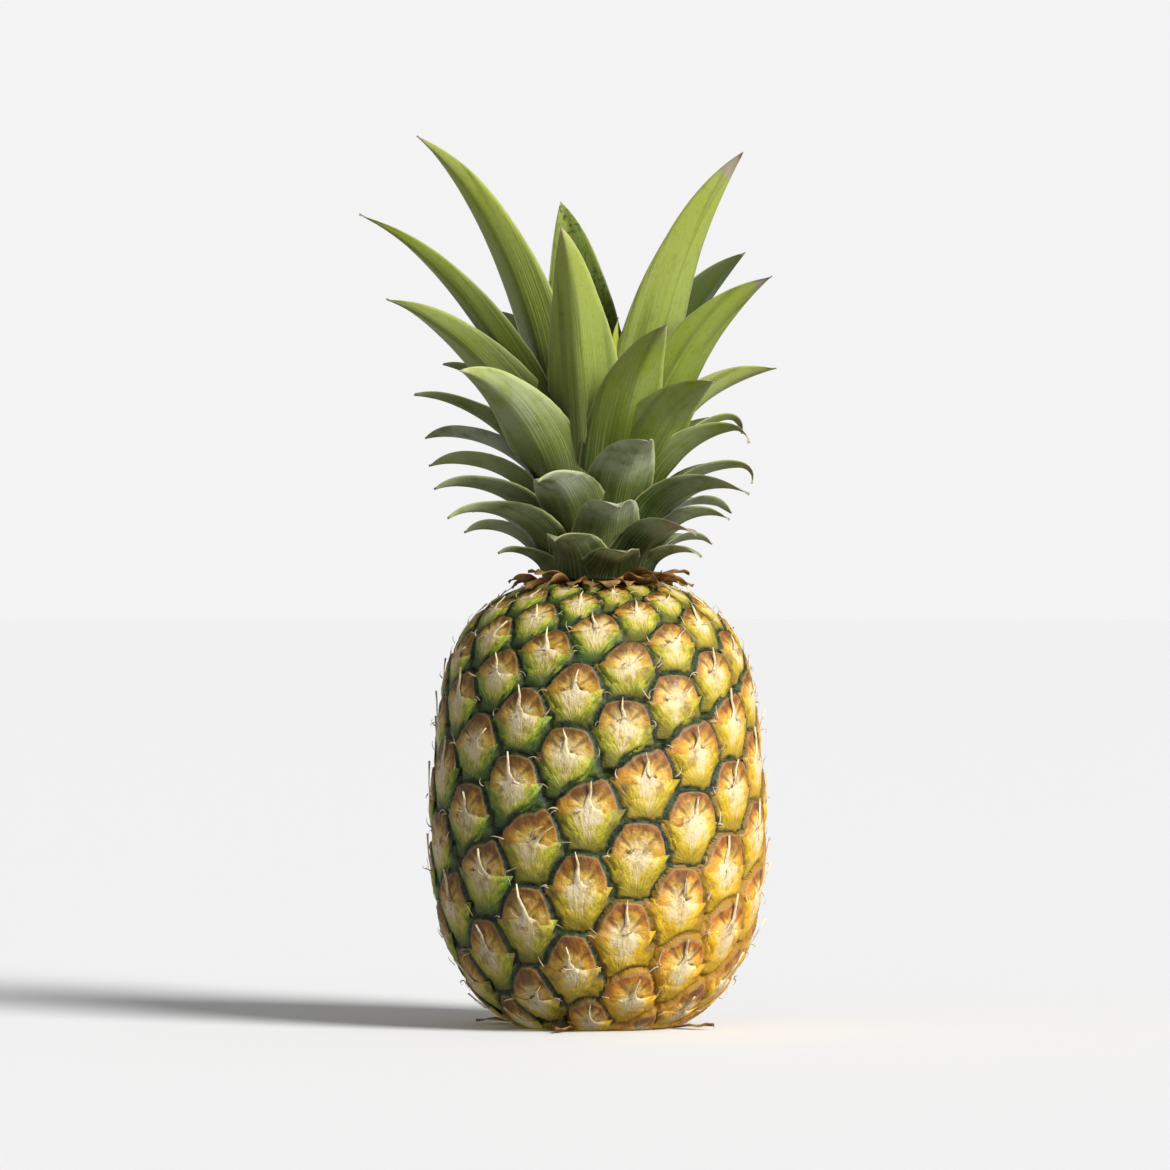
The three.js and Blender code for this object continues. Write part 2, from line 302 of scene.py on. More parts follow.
def eyeRelief(u, v, inside):
    # height over the outline in mm: a groove round the eye, three lobes on its disc, a dip in the middle
    rho = np.hypot(u, v) / eye["discRadius"]
    angle = np.arctan2(u, v)
    groove = -rind["grooveDepth"] * (1 - smooth(inside, -1.4, 1.2))
    dome = -0.2 - 0.8 * rho**2 - 0.6 * np.exp(-(rho / 0.28) ** 2)
    creases = np.exp(-((np.abs(angle) - eye["creaseAngle"]) / 0.16) ** 2)
    creases = creases * smooth(rho, 0.15, 0.5) * (1 - smooth(rho, 0.8, 1.0))
    rimLip = 0.35 * np.exp(-((rho - 0.9) / 0.1) ** 2) * smooth(v, 0, 4)
    bractSeat = -0.3 * smooth(-v, 0, 4)
    return groove + dome + rimLip + bractSeat - 0.45 * creases


def waviness(x, y, z):
    # slow unevenness that makes no two eyes alike
    return (np.sin(x * 0.31 + 1.7) * np.sin(y * 0.27 + 0.4) * np.sin(z * 0.23 + 2.1)
            + 0.5 * np.sin(x * 0.83 + z * 0.61) * np.sin(y * 0.77 - z * 0.4))


deepInside = 4  # mm, well clear of any groove


def spinRind():
    bm = bmesh.new()
    arcs = np.linspace(rind["flatHeight"], baseArc, rind["rows"])
    radius, height = outlineAt(arcs)[:2]
    profile = list(zip(radius, height))
    crownSeat = [(0, height[0]), (radius[0] * 0.5, height[0])]
    underside = [(28, 0.15), (22, 0.5), (16, 1.1), (13.2, 1.7), (12.9, 3), (12.9, 8.2), (6, 8.5), (0, 8.5)]
    line = [bm.verts.new((r * mm, 0, z * mm)) for r, z in crownSeat + profile + underside]
    edges = [bm.edges.new(pair) for pair in zip(line, line[1:])]
    bmesh.ops.spin(bm, geom=line + edges, axis=(0, 0, 1), cent=(0, 0, 0), steps=rind["columns"],
                   angle=math.tau, use_merge=True)
    bmesh.ops.remove_doubles(bm, verts=bm.verts[:], dist=1e-7)
    bm.verts.ensure_lookup_table()
    return bm


def raiseEyes(bm):
    place = np.array([v.co for v in bm.verts]) / mm
    r = np.hypot(place[:, 0], place[:, 1])
    azimuth = np.degrees(np.arctan2(place[:, 0], -place[:, 1]))
    fullRadius, fullHeight = outlinePoints.T
    lookUp = np.arctan2(fullHeight - rind["middleHeight"], fullRadius)
    arc = np.interp(-np.arctan2(place[:, 2] - rind["middleHeight"], r), -lookUp, outlineArcs)
    skin = np.clip(smooth(r, 13, 17), 0, 1) * smooth(place[:, 2] + 0.6 * (r - 30), 0.2, 3)
    found = surveyRind(azimuth, arc)
    relief = eyeRelief(found["u"], found["v"], found["inside"])
    ripple = np.sin(found["u"] * 2.3 + found["eye"]) * np.sin(found["v"] * 1.9)
    relief += 0.28 * waviness(*place.T) + 0.12 * ripple
    relief *= skin * np.sqrt(eyeAlong[found["eye"].astype(int)])
    normalR, normalZ = outlineAt(arc)[2:]
    outwards = place[:, :2] / np.maximum(r, 1e-6)[:, None]
    place[:, :2] += outwards * (normalR * relief)[:, None]
    place[:, 2] += normalZ * relief
    place[:, 2] = np.maximum(place[:, 2], 0.0)
    for v, spot in zip(bm.verts, place):
        v.co = Vector(spot) * mm
    return azimuth, arc, skin, found


def layEyePattern(bm, azimuth, arc, found):
    # each face takes its eye from its deepest corner, so an eye's pattern never runs into the next one
    uvLayer = bm.loops.layers.uv.new("eyePattern")
    faces = bm.faces[:]
    corners = [[loop.vert.index for loop in f.loops] for f in faces]
    faceEye = [int(found["eye"][c[int(np.argmax([found["inside"][i] for i in c]))]]) for c in corners]
    flat = np.concatenate(corners)
    cornerEye = np.repeat(faceEye, [len(c) for c in corners])
    turn = (azimuth[flat] - eyeAzimuth[cornerEye] + 180) % 360 - 180
    radius = np.maximum(outlineAt(arc[flat])[0], rind["leastRadius"])
    u = np.radians(turn) * radius / eyeAcross[cornerEye]
    v = (eyeArc[cornerEye] - arc[flat]) / eyeAlong[cornerEye]
    uv = np.stack([u, v], axis=1) / eye["discRadius"]
    for loop, spot in zip((loop for f in faces for loop in f.loops), uv):
        loop[uvLayer].uv = spot
    return faceEye


def buildFruit(materials):
    bm = spinRind()
    azimuth, arc, skin, found = raiseEyes(bm)
    faceEye = layEyePattern(bm, azimuth, arc, found)
    fruit = finishPiece(bm, "fruitRind", materials, ["fruit"])
    storeValues(fruit.data, "POINT", {"groove": found["inside"] + deepInside * (1 - skin)})
    storeValues(fruit.data, "FACE", {"eyeSeed": eyeSeed[faceEye], "ripenessAndShade": eyeRipenessAndShade()[faceEye]})
    return fruit


def storeValues(mesh, domain, values):
    for name, numbers in values.items():
        layer = mesh.attributes.new(name, "FLOAT", domain)
        layer.data.foreach_set("value", np.asarray(numbers, np.float32))


def eyeRipenessAndShade():
    # golden low on the right, green on the left and near the crown; the left side is also darker, as painted
    # shade on the side away from the light
    radius, height = outlineAt(eyeArc)[:2]
    x = radius * np.sin(np.radians(eyeAzimuth))
    y = -radius * np.cos(np.radians(eyeAzimuth))
    # the term across makes the left side greener and darker: partly real ripeness, partly painted shade
    ripenessAndShade = 0.30 + 0.0074 * x - 0.0034 * (height - rind["middleHeight"]) + 0.0008 * y
    low = smooth(70 - height, 0, 50) * smooth(x, -25, 25)
    return np.clip(ripenessAndShade + 0.5 * low + 0.16 * (eyeSeed - 0.5), 0, 1)


bract = {
    "columns": 4,
    "rows": 10,
    "thickness": 0.3,
    # share of the way up, place up the eye, half-width, height over the rind and its lowest, in mm
    "shape": [(0.0, -12.4, 3.6, -1.6, -3.4), (0.1, -11.2, 5.0, -1.3, -2.6), (0.2, -9.9, 6.6, -0.9, -2.2),
              (0.3, -8.6, 8.2, -0.4, -1.9), (0.4, -7.0, 10.4, 0.15, -1.5), (0.5, -4.9, 13.4, 0.42, -1.3),
              (0.6, -2.4, 4.8, 0.4, -1.0), (0.7, 0.8, 1.9, 0.4, -1.0), (0.8, 4.0, 1.0, 0.5, -1.0),
              (0.9, 7.6, 0.6, 0.8, -1.0), (1.0, 11.8, 0.12, 1.3, -1.0)],
    "bentShare": 0.25,
}


def addBlade(bm, uvLayer, columns, rows, place, thickness):
    # a closed thin sheet; place gives a point and its normal for a share across (-1 to 1) and along (0 to 1)
    verts = bmesh.ops.create_grid(bm, x_segments=columns, y_segments=rows, size=1)["verts"]
    faces = list({f for v in verts for f in v.link_faces})
    lifted = bmesh.ops.extrude_face_region(bm, geom=faces)["geom"]
    topVerts = {item for item in lifted if isinstance(item, bmesh.types.BMVert)}
    every = set(verts) | topVerts
    shellFaces = {f for v in every for f in v.link_faces}
    for f in shellFaces:
        inTop = sum(v in topVerts for v in f.verts)
        f.material_index = 0 if inTop == len(f.verts) else 1
        for loop in f.loops:
            loop[uvLayer].uv = ((loop.vert.co.x + 1) / 2, (loop.vert.co.y + 1) / 2)
    for v in every:
        across, along = v.co.x, (v.co.y + 1) / 2
        point, normal = place(across, along)
        half = thickness(across, along) / 2
        v.co = (point + normal * (half if v in topVerts else -half)) * mm
    return shellFaces


def onEye(n, u, v, over, lowest=-9.0):
    # a point at u, v mm on eye n, and the direction out of the rind there
    arc = eyeArc[n] - v * eyeAlong[n]
    radius, height, normalR, normalZ = outlineAt(arc)
    relief = max(float(eyeRelief(u, v, eyeInside(u, v) + eye["margin"])), lowest)
    size = math.sqrt(eyeAcross[n] * eyeAlong[n])
    azimuth = eyeAzimuth[n] + math.degrees(u * eyeAcross[n] / max(radius, rind["leastRadius"]))
    normal = around(azimuth, normalR, normalZ)
    point = around(azimuth, radius, height) + normal * (relief + over) * size
    point.z = max(point.z, 0.4)
    return point, normal


def buildBracts(materials):
    bm = bmesh.new()
    uvLayer = bm.loops.layers.uv.new("eyePattern")
    layers = {name: bm.faces.layers.float.new(name) for name in ("eyeSeed", "ripenessAndShade", "groove", "onBract")}
    shape = np.array(bract["shape"])
    ripenessAndShade = eyeRipenessAndShade()
    source = np.random.default_rng(23)
    for n in range(rind["eyes"]):
        luck = source.random(8)
        if eyeArc[n] > baseArc - 5 or eyeArc[n] < 9:
            continue
        bent = luck[0] < bract["bentShare"]
        lean = (luck[1] - 0.5) * 4.5 + (7.5 if bent else 0)
        lift = 0.2 + 2.6 * luck[2] ** 2.5
        shorter = 0.7 + 0.45 * luck[3]
        wing = 0.9 + 0.16 * luck[4]
        tilt = (luck[5] - 0.5) * 2.0
        ragged = luck[6] * 6.28
        local = {}

        def place(across, along):
            v, half, over, lowest = (float(np.interp(along, shape[:, 0], shape[:, k])) for k in (1, 2, 3, 4))
            tipShare = max(along - 0.6, 0) / 0.4
            wingShare = math.exp(-((along - 0.5) / 0.12) ** 2)
            u = across * half * (wing if along > 0.35 else 1) + lean * tipShare**1.5
            v += wingShare * 5.2 * abs(across) ** 1.8 + tilt * across * wingShare
            v += 0.35 * math.sin(across * 5 + ragged) * (1 - tipShare)
            if along > 0.6:
                v = -2.4 + (v + 2.4) * shorter * (0.6 if bent else 1)
                u += 0.5 * math.sin(along * 21 + ragged)
            over += lift * tipShare**2 - 0.55 * over * abs(across) ** 3
            local[(round(across, 3), round(along, 3))] = (u, v)
            return onEye(n, u, v, over, lowest)

        def thickness(across, along):
            return bract["thickness"] * (1 - 0.6 * along) * (1 - 0.5 * across**2)

        faces = addBlade(bm, uvLayer, bract["columns"], bract["rows"], place, thickness)
        for f in faces:
            for loop in f.loops:
                across, along = loop[uvLayer].uv.x * 2 - 1, loop[uvLayer].uv.y
                u, v = local[(round(across, 3), round(along, 3))]
                loop[uvLayer].uv = (u / eye["discRadius"], v / eye["discRadius"])
            f[layers["eyeSeed"]] = eyeSeed[n]
            f[layers["ripenessAndShade"]] = ripenessAndShade[n]
            f[layers["groove"]] = deepInside
            f[layers["onBract"]] = 1
            f.material_index = 0
    return finishPiece(bm, "eyeBracts", materials)


wisps = {
    "perEye": 3,
    "length": (2.5, 7.0),
    "halfWidth": (0.18, 0.4),
}


def buildWisps(materials):
    # dry papery threads at the wing tips and over the middles of the eyes
    bm = bmesh.new()
    uvLayer = bm.loops.layers.uv.new("bladePattern")
    source = np.random.default_rng(41)
    for n in range(rind["eyes"]):
        for i in range(wisps["perEye"]):
            luck = source.random(8)
            if eyeArc[n] > baseArc - 8 or eyeArc[n] < 12:
                continue
            side = -1 if luck[0] < 0.5 else 1
            atWing = i < 2
            startU = side * (10.5 + 2 * luck[1]) if atWing else (luck[1] - 0.5) * 5
            startV = -1.5 + 2.5 * luck[2] if atWing else (luck[2] - 0.3) * 4
            heading = (side * (0.3 + 1.1 * luck[3]) if atWing else (luck[3] - 0.5) * 4.4)
            length = wisps["length"][0] + (wisps["length"][1] - wisps["length"][0]) * luck[4] ** 1.6
            half = wisps["halfWidth"][0] + (wisps["halfWidth"][1] - wisps["halfWidth"][0]) * luck[5]
            rise = 0.3 + 2.2 * luck[6] ** 2
            curl = (luck[7] - 0.5) * 3

            def place(across, along):
                turned = heading + curl * along
                run = length * along
                width = across * half * (1 - 0.85 * along)
                u = startU + run * math.sin(turned) + width * math.cos(turned)
                v = startV + run * math.cos(turned) - width * math.sin(turned)
                return onEye(n, u, v, 0.9 + rise * math.sin(along * 2.2), -1.2)

            addBlade(bm, uvLayer, 1, 6, place, lambda across, along: 0.22 * (1 - 0.5 * along))
    for f in bm.faces:
        f.material_index = 0
    return finishPiece(bm, "dryWisps", materials)


# In order up the stem, in mm and degrees: azimuth, how far out the tip reaches, the tip's height, how far the
# leaf bows up as a share of its length, and half its width.
leafPlan = [
    (10, 44, 172, 0.17, 9), (150, 40, 173, 0.15, 9), (-72, 39, 175, 0.17, 8), (66, 42, 174, 0.17, 8),
    (-150, 44, 177, 0.15, 9), (-14, 46, 178, 0.2, 10.5), (112, 46, 179, 0.15, 9),
    (-98, 50, 183, 0.15, 9.5), (40, 56, 182, 0.16, 9.5), (172, 52, 183, 0.15, 10),
    (-60, 64, 188, 0.15, 10), (86, 49, 188, 0.15, 9.5), (-122, 56, 191, 0.14, 10),
    (8, 49, 187, 0.22, 11.5), (126, 62, 191, 0.14, 10), (-84, 61, 199, 0.14, 10.5),
    (60, 64, 197, 0.14, 10.5), (-166, 60, 198, 0.14, 10.5), (-22, 53, 195, 0.22, 12.5),
    (98, 62, 206, 0.15, 11), (-108, 66, 208, 0.13, 11), (20, 54, 214, 0.17, 12.5),
    (156, 66, 208, 0.13, 11.5), (-126, 80, 219, 0.12, 11.5), (72, 61, 221, 0.14, 11.5),
    (-160, 72, 222, 0.12, 12), (-92, 68, 234, 0.12, 12), (112, 61, 226, 0.14, 11.5),
    (-57, 61, 242, 0.13, 13), (45, 60, 238, 0.1, 13), (178, 78, 238, 0.1, 12.5),
    (-114, 63, 246, 0.11, 12), (92, 66, 244, 0.12, 11.5), (-82, 78.5, 269, 0.1, 12.5),
    (26, 56, 258, 0.1, 13), (146, 84, 262, 0.09, 12.5), (-150, 75, 267, 0.105, 12.5),
    (72, 67, 277, 0.1, 12.5), (-79, 89, 300, 0.08, 12.5), (-16, 50, 293, 0.075, 13),
    (118, 62, 288, 0.07, 12.5), (-95, 67, 330, 0.07, 13), (-168, 50, 308, 0.09, 13),
    (82, 54, 323, 0.075, 13), (-64, 12, 266, 0.03, 7), (44, 10.5, 262, 0.03, 5),
    (163, 9, 262, 0.03, 2.6), (-121, 5, 240, 0.01, 1.5),
]

leaf = {
    "columns": 10,
    "rows": 36,
    "thickness": 1.25,
    "toothSpacing": 4.2,
    "toothHeight": 0.3,
    "sheath": 13,  # how far a leaf's base runs down the stem below its seat
    "baseHalf": 15,
    "foldStart": 0.4,
    "foldGrowth": 0.04,
}

# What single leaves do beyond the plan, by number: roll turns the blade about its middle line, in degrees,
# curl bends the tip down, tone goes from dark to pale, its dark end partly painted shade on leaves in shadow,
# and bloom and dry are shares of bloom and dry tip.
leafHabits = {
    1: {"azimuth": 14, "tip": (44, 175.5), "bow": 0.1},
    6: {"azimuth": -21, "tip": (46, 179.5), "bow": 0.14, "dry": 0.05},
    14: {"azimuth": 9, "tip": (49, 191.5), "bow": 0.14, "bloom": 1.0, "toneAndShade": 0.6},
    19: {"azimuth": -25, "tip": (53, 201), "bow": 0.13, "bloom": 1.0, "roll": 12, "toneAndShade": 0.6},
    22: {"bow": 0.12, "tip": (54, 216), "roll": -8, "bloom": 0.8, "toneAndShade": 0.5},
    11: {"roll": 15}, 8: {"roll": 12}, 16: {"roll": 15}, 21: {"roll": 18},
    9: {"roll": -15, "bow": 0.12, "dry": 0.3, "mottled": 0.8}, 12: {"roll": -10}, 17: {"roll": -18},
    20: {"curl": 90, "dry": 0.12}, 25: {"roll": -15, "curl": 75, "dry": 0.1}, 28: {"curl": 85, "dry": 0.1},
    24: {"roll": 20, "bloom": 0.7, "toneAndShade": 0.2}, 27: {"roll": 15, "toneAndShade": 0.2},
    29: {"roll": 38, "bloom": 0.5, "half": 14}, 30: {"roll": -30, "half": 14},
    32: {"roll": 25, "toneAndShade": 0.15}, 33: {"roll": -30, "toneAndShade": 0.75},
    34: {"roll": 42, "half": 13, "toneAndShade": 0.6}, 35: {"roll": -14, "half": 14}, 37: {"roll": -20, "toneAndShade": 0.1},
    38: {"roll": -42, "half": 13.5, "dry": 0.07}, 39: {"roll": 36, "half": 9.5, "bow": 0.1},
    40: {"roll": 8, "half": 14.5, "fold": 0.6, "toneAndShade": 0.62},
    41: {"roll": -60, "toneAndShade": 0.0, "half": 17, "drift": 0, "bloom": 0},
    42: {"roll": 46, "half": 14, "fold": 0.42, "bow": 0.11},
    43: {"azimuth": -164, "toneAndShade": 0.35, "half": 17, "mottled": 1.0, "roll": -12, "drift": 0},
    44: {"roll": -48, "half": 14.5, "dry": 0.08, "curl": 0, "toneAndShade": 0.65},
}

stemLow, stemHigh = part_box("crown_stem")
stem = {
    "bottom": stemLow.z / mm,
    "radius": (stemHigh.x - stemLow.x) / 2 / mm,
    "height": (stemHigh.z - stemLow.z) / mm,
}


def onStem(share):
    turn = share * math.pi / 2
    return stem["radius"] * math.cos(turn), stem["bottom"] + stem["height"] * math.sin(turn)


def stemRadiusAt(height):
    rise = min(max((height - stem["bottom"]) / stem["height"], 0), 1)
    return stem["radius"] * math.sqrt(1 - rise**2)


def spineOf(seat, tip, bow, sheath=0.0, curl=0.0, steps=56):
    # radius and height along a leaf's middle line, its slope, and its length
    seat, tip = np.array(seat, float), np.array(tip, float)
    chord = tip - seat
    knee = seat + 0.45 * chord + 2 * bow * np.array([-chord[1], chord[0]])
    start, first = seat, seat + (knee - seat) * 0.66
    if sheath:
        low = max(seat[1] - sheath, stem["bottom"] + 0.4)
        start = np.array([max(stemRadiusAt(low), 1.0) + 0.9, low])
        upright = np.array([0.12, 1.0]) * (seat[1] - low + 0.2 * np.hypot(*chord))
        first = start + 0.75 * upright + 0.12 * (knee - seat)
    second = knee + (tip - knee) * 0.34
    t = np.linspace(0, 1, 160)[:, None]
    points = (1 - t) ** 3 * start + 3 * t * (1 - t) ** 2 * first + 3 * t**2 * (1 - t) * second + t**3 * tip
    lengths = np.concatenate([[0], np.cumsum(np.hypot(*np.diff(points, axis=0).T))])
    even = np.linspace(0, lengths[-1], steps)
    points = np.stack([np.interp(even, lengths, points[:, k]) for k in (0, 1)], axis=1)
    slopes = np.arctan2(*np.gradient(points, axis=0).T[::-1])
    if curl:
        slopes = slopes - math.radians(curl) * np.clip((np.linspace(0, 1, steps) - 0.84) / 0.16, 0, 1) ** 1.2
        step = lengths[-1] / (steps - 1)
        for k in range(int(0.84 * steps), steps):
            points[k] = points[k - 1] + step * np.array([math.cos(slopes[k]), math.sin(slopes[k])])
    return points, slopes, lengths[-1]


def bladeShape(along, sharpness=2.8):
    # a blade's half-width as a share of its widest
    return (0.88 + 0.12 * math.sin(math.pi * min(along / 0.7, 1))) * (1 - along**sharpness) ** 0.95


def leafPlace(points, slopes, length, azimuth, halfWidth, habit, seed):
    steps = len(points)
    side = around(azimuth + 90, 1, 0)
    outwards = around(azimuth, 1, 0)
    seatRadius = points[0][0] + 1.5

    def place(across, along):
        at = along * (steps - 1)
        r, z = (float(np.interp(at, range(steps), points[:, k])) for k in (0, 1))
        slope = float(np.interp(at, range(steps), slopes))
        up = Vector((0, 0, math.cos(slope))) - outwards * math.sin(slope)
        base = math.exp(-((along / 0.2) ** 2)) * habit["wrap"]
        half = halfWidth * bladeShape(along)
        half += (min(habit["baseHalf"], 1.45 * seatRadius) - half) * base
        toothPhase = (along * length / leaf["toothSpacing"]) % 1
        half += leaf["toothHeight"] * (1 - toothPhase) * abs(across) ** 6 * float(smooth(along, 0.75, 0.4))
        lateral = across * half
        curvature = base / seatRadius + 0.006
        sideways = math.sin(curvature * lateral) / curvature
        inwards = (1 - math.cos(curvature * lateral)) / curvature
        opened = min(along * 3.5, 1)
        keel = habit["fold"] * half * (math.sqrt(across**2 + 0.008) - 0.09) * opened
        wave = habit["wave"] * math.sin(along * 9 + seed * 6.28 + 0.8 * across) * across**2 * along
        turn = math.radians(habit["roll"]) * float(smooth(along, 0.02, 0.42))
        turn += math.radians(habit["twist"]) * along**2
        overUp = inwards + keel + wave
        point = around(azimuth, r, z) + side * (sideways * math.cos(turn) + habit["drift"] * along**2)
        point += up * (overUp * math.cos(turn) + sideways * math.sin(turn)) - side * (overUp * math.sin(turn))
        tilt = -habit["fold"] * opened * across / math.sqrt(across**2 + 0.008) - math.sin(curvature * lateral)
        normal = up * math.cos(turn) - side * math.sin(turn)
        normal += (side * math.cos(turn) + up * math.sin(turn)) * tilt
        return point, normal.normalized()

    def thickness(across, along):
        return leaf["thickness"] * (1 - 0.62 * along) * (1 - 0.8 * across**2)

    return place, thickness


def buildLeaf(number, plan, materials):
    azimuth, reach, height, bow, halfWidth = plan
    age = (number - 1) / (len(leafPlan) - 1)
    seed = (number * 0.618) % 1
    habit = {"azimuth": azimuth, "tip": (reach, height), "bow": bow, "half": halfWidth * 1.06, "roll": 0,
             "fold": leaf["foldStart"] + leaf["foldGrowth"] * age, "drift": 2 * (seed - 0.5),
             "twist": 14 * (seed - 0.5), "wave": 0.7, "curl": 10 * (1 - age), "wrap": 1.0,
             "baseHalf": leaf["baseHalf"], "toneAndShade": 0.3 + 0.3 * seed, "bloom": 0.55 * (1 - age),
             "dry": 0.02, "mottled": 0.2}
    habit.update(leafHabits.get(number, {}))
    seat = onStem(0.02 + 0.9 * age)
    points, slopes, length = spineOf(seat, habit["tip"], habit["bow"], leaf["sheath"], habit["curl"])
    bm = bmesh.new()
    uvLayer = bm.loops.layers.uv.new("bladePattern")
    place, thickness = leafPlace(points, slopes, length, habit["azimuth"], habit["half"], habit, seed)
    addBlade(bm, uvLayer, leaf["columns"], leaf["rows"], place, thickness)
    piece = finishPiece(bm, f"blade_{number:02d}", materials, [f"leaf_{number:02d}"])
    values = {"leafAge": age, "leafSeed": seed, "leafToneAndShade": habit["toneAndShade"], "leafBloom": habit["bloom"],
              "leafDry": habit["dry"], "leafMottle": habit["mottled"]}
    storeValues(piece.data, "FACE", {k: [v] * len(piece.data.polygons) for k, v in values.items()})
    return piece


def buildDryBract(name, azimuth, seat, tip, bow, halfWidth, roll, materials, replaced=(), seed=0.3, curl=0.0):
    habit = {"fold": 0.15, "drift": 3 * (seed - 0.5), "roll": roll, "twist": 30 * (seed - 0.5), "wave": 1.1,
             "wrap": 0.0, "baseHalf": halfWidth}
    points, slopes, length = spineOf(seat, tip, bow, 0.0, curl)
    bm = bmesh.new()
    uvLayer = bm.loops.layers.uv.new("bladePattern")
    place, thickness = leafPlace(points, slopes, length, azimuth, halfWidth, habit, seed)

    def aboveFloor(across, along):
        point, normal = place(across, along)
        point.z = max(point.z, 0.5)
        return point, normal

    addBlade(bm, uvLayer, 6, 14, aboveFloor, lambda across, along: 0.5 * thickness(across, along))
    piece = finishPiece(bm, name, materials, replaced)
    storeValues(piece.data, "FACE", {"leafSeed": [seed] * len(piece.data.polygons)})
    return piece


collar = {
    "count": 5, "length": 15, "halfWidth": 4.2,
    # more dry bracts at the crown's foot: azimuth, the seat's radius and height, the tip's, half-width, roll
    "extra": [
        (-3, 23, 164, 31, 162, 4.5, 0), (9, 23, 164, 33, 162.4, 5.5, 10), (21, 23, 164, 32, 163, 5, -10),
        (33, 22, 164, 33, 165, 5, -20), (44, 23, 163.5, 34, 163.5, 4, -30),
        (62, 22, 164, 33, 166, 2, -50), (-18, 23, 164, 32, 162.5, 4, 20), (-36, 22, 164, 33, 163, 4, 35),
        (-54, 23, 163.5, 34, 161.5, 3, 40), (78, 22, 164, 36, 163, 2, -30),
        (-76, 22, 164, 34, 164.5, 2.4, 45), (95, 23, 164, 33, 162.5, 4.5, 0),
        (122, 23, 164, 33, 163, 5, 0), (148, 23, 164, 34, 162.5, 4.5, 0), (171, 23, 164, 33, 163, 5, 0),
        (-102, 23, 164, 33, 162.5, 4.5, 0), (-128, 23, 164, 34, 163, 5, 0),
        (-152, 23, 164, 33, 162.5, 4.5, 0),
    ],
}
foot = {"count": 4, "length": 17, "halfWidth": 2.6, "firstAzimuth": 62, "step": 93, "radius": 32}


def buildCollar(materials):
    for i in range(collar["count"]):
        azimuth = leafPlan[0][0] - (i + 1) * goldenAngle
        seat = (stem["radius"], stem["bottom"] + 0.9)
        tip = (stem["radius"] + collar["length"], stem["bottom"] + 3)
        buildDryBract(f"collarBract_{i + 1}", azimuth, seat, tip, 0.06, collar["halfWidth"], 15 - 8 * i,
                      materials, [f"collar_bract_{i + 1}"], seed=0.17 * i)
    for i, (azimuth, seatR, seatZ, tipR, tipZ, half, roll) in enumerate(collar["extra"]):
        buildDryBract(f"collarScrap_{i + 1:02d}", azimuth, (seatR, seatZ), (tipR, tipZ), 0.12, half, roll,
                      materials, seed=(0.618 * i) % 1)


def buildFoot(materials):
    for i in range(foot["count"]):
        azimuth = foot["firstAzimuth"] + i * foot["step"]
        seat, tip = (foot["radius"], 0.6), (foot["radius"] + foot["length"], 1.5)
        buildDryBract(f"footBract_{i + 1}", azimuth, seat, tip, 0.02, foot["halfWidth"], 10,
                      materials, [f"base_bract_{i + 1}"], seed=0.23 * i)


def buildSpun(name, profile, steps, materials, replaced):
    bm = bmesh.new()
    line = [bm.verts.new((r * mm, 0, z * mm)) for r, z in profile]
    edges = [bm.edges.new(pair) for pair in zip(line, line[1:])]
    bmesh.ops.spin(bm, geom=line + edges, axis=(0, 0, 1), cent=(0, 0, 0), steps=steps, angle=math.tau,
                   use_merge=True)
    bmesh.ops.remove_doubles(bm, verts=bm.verts[:], dist=1e-7)
    return finishPiece(bm, name, materials, replaced)


def buildStem(materials):
    profile = [(0, stem["bottom"] - 0.6), (stem["radius"] - 1, stem["bottom"] - 0.6)]
    profile += [onStem(i / 24) for i in range(24)]
    profile += [(0, stem["bottom"] + stem["height"])]
    return buildSpun("crownStem", profile, 48, materials, ["crown_stem"])


def buildStalk(materials):
    low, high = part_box("stalk_end")
    radius, top = high.x / mm, high.z / mm
    profile = [(0, 0.3), (radius * 0.5, 0.1), (radius - 1, 0.0), (radius, 0.7), (radius, top * 0.7),
               (radius * 0.85, top), (0, top)]
    return buildSpun("stalkEnd", profile, 64, materials, ["stalk_end"])


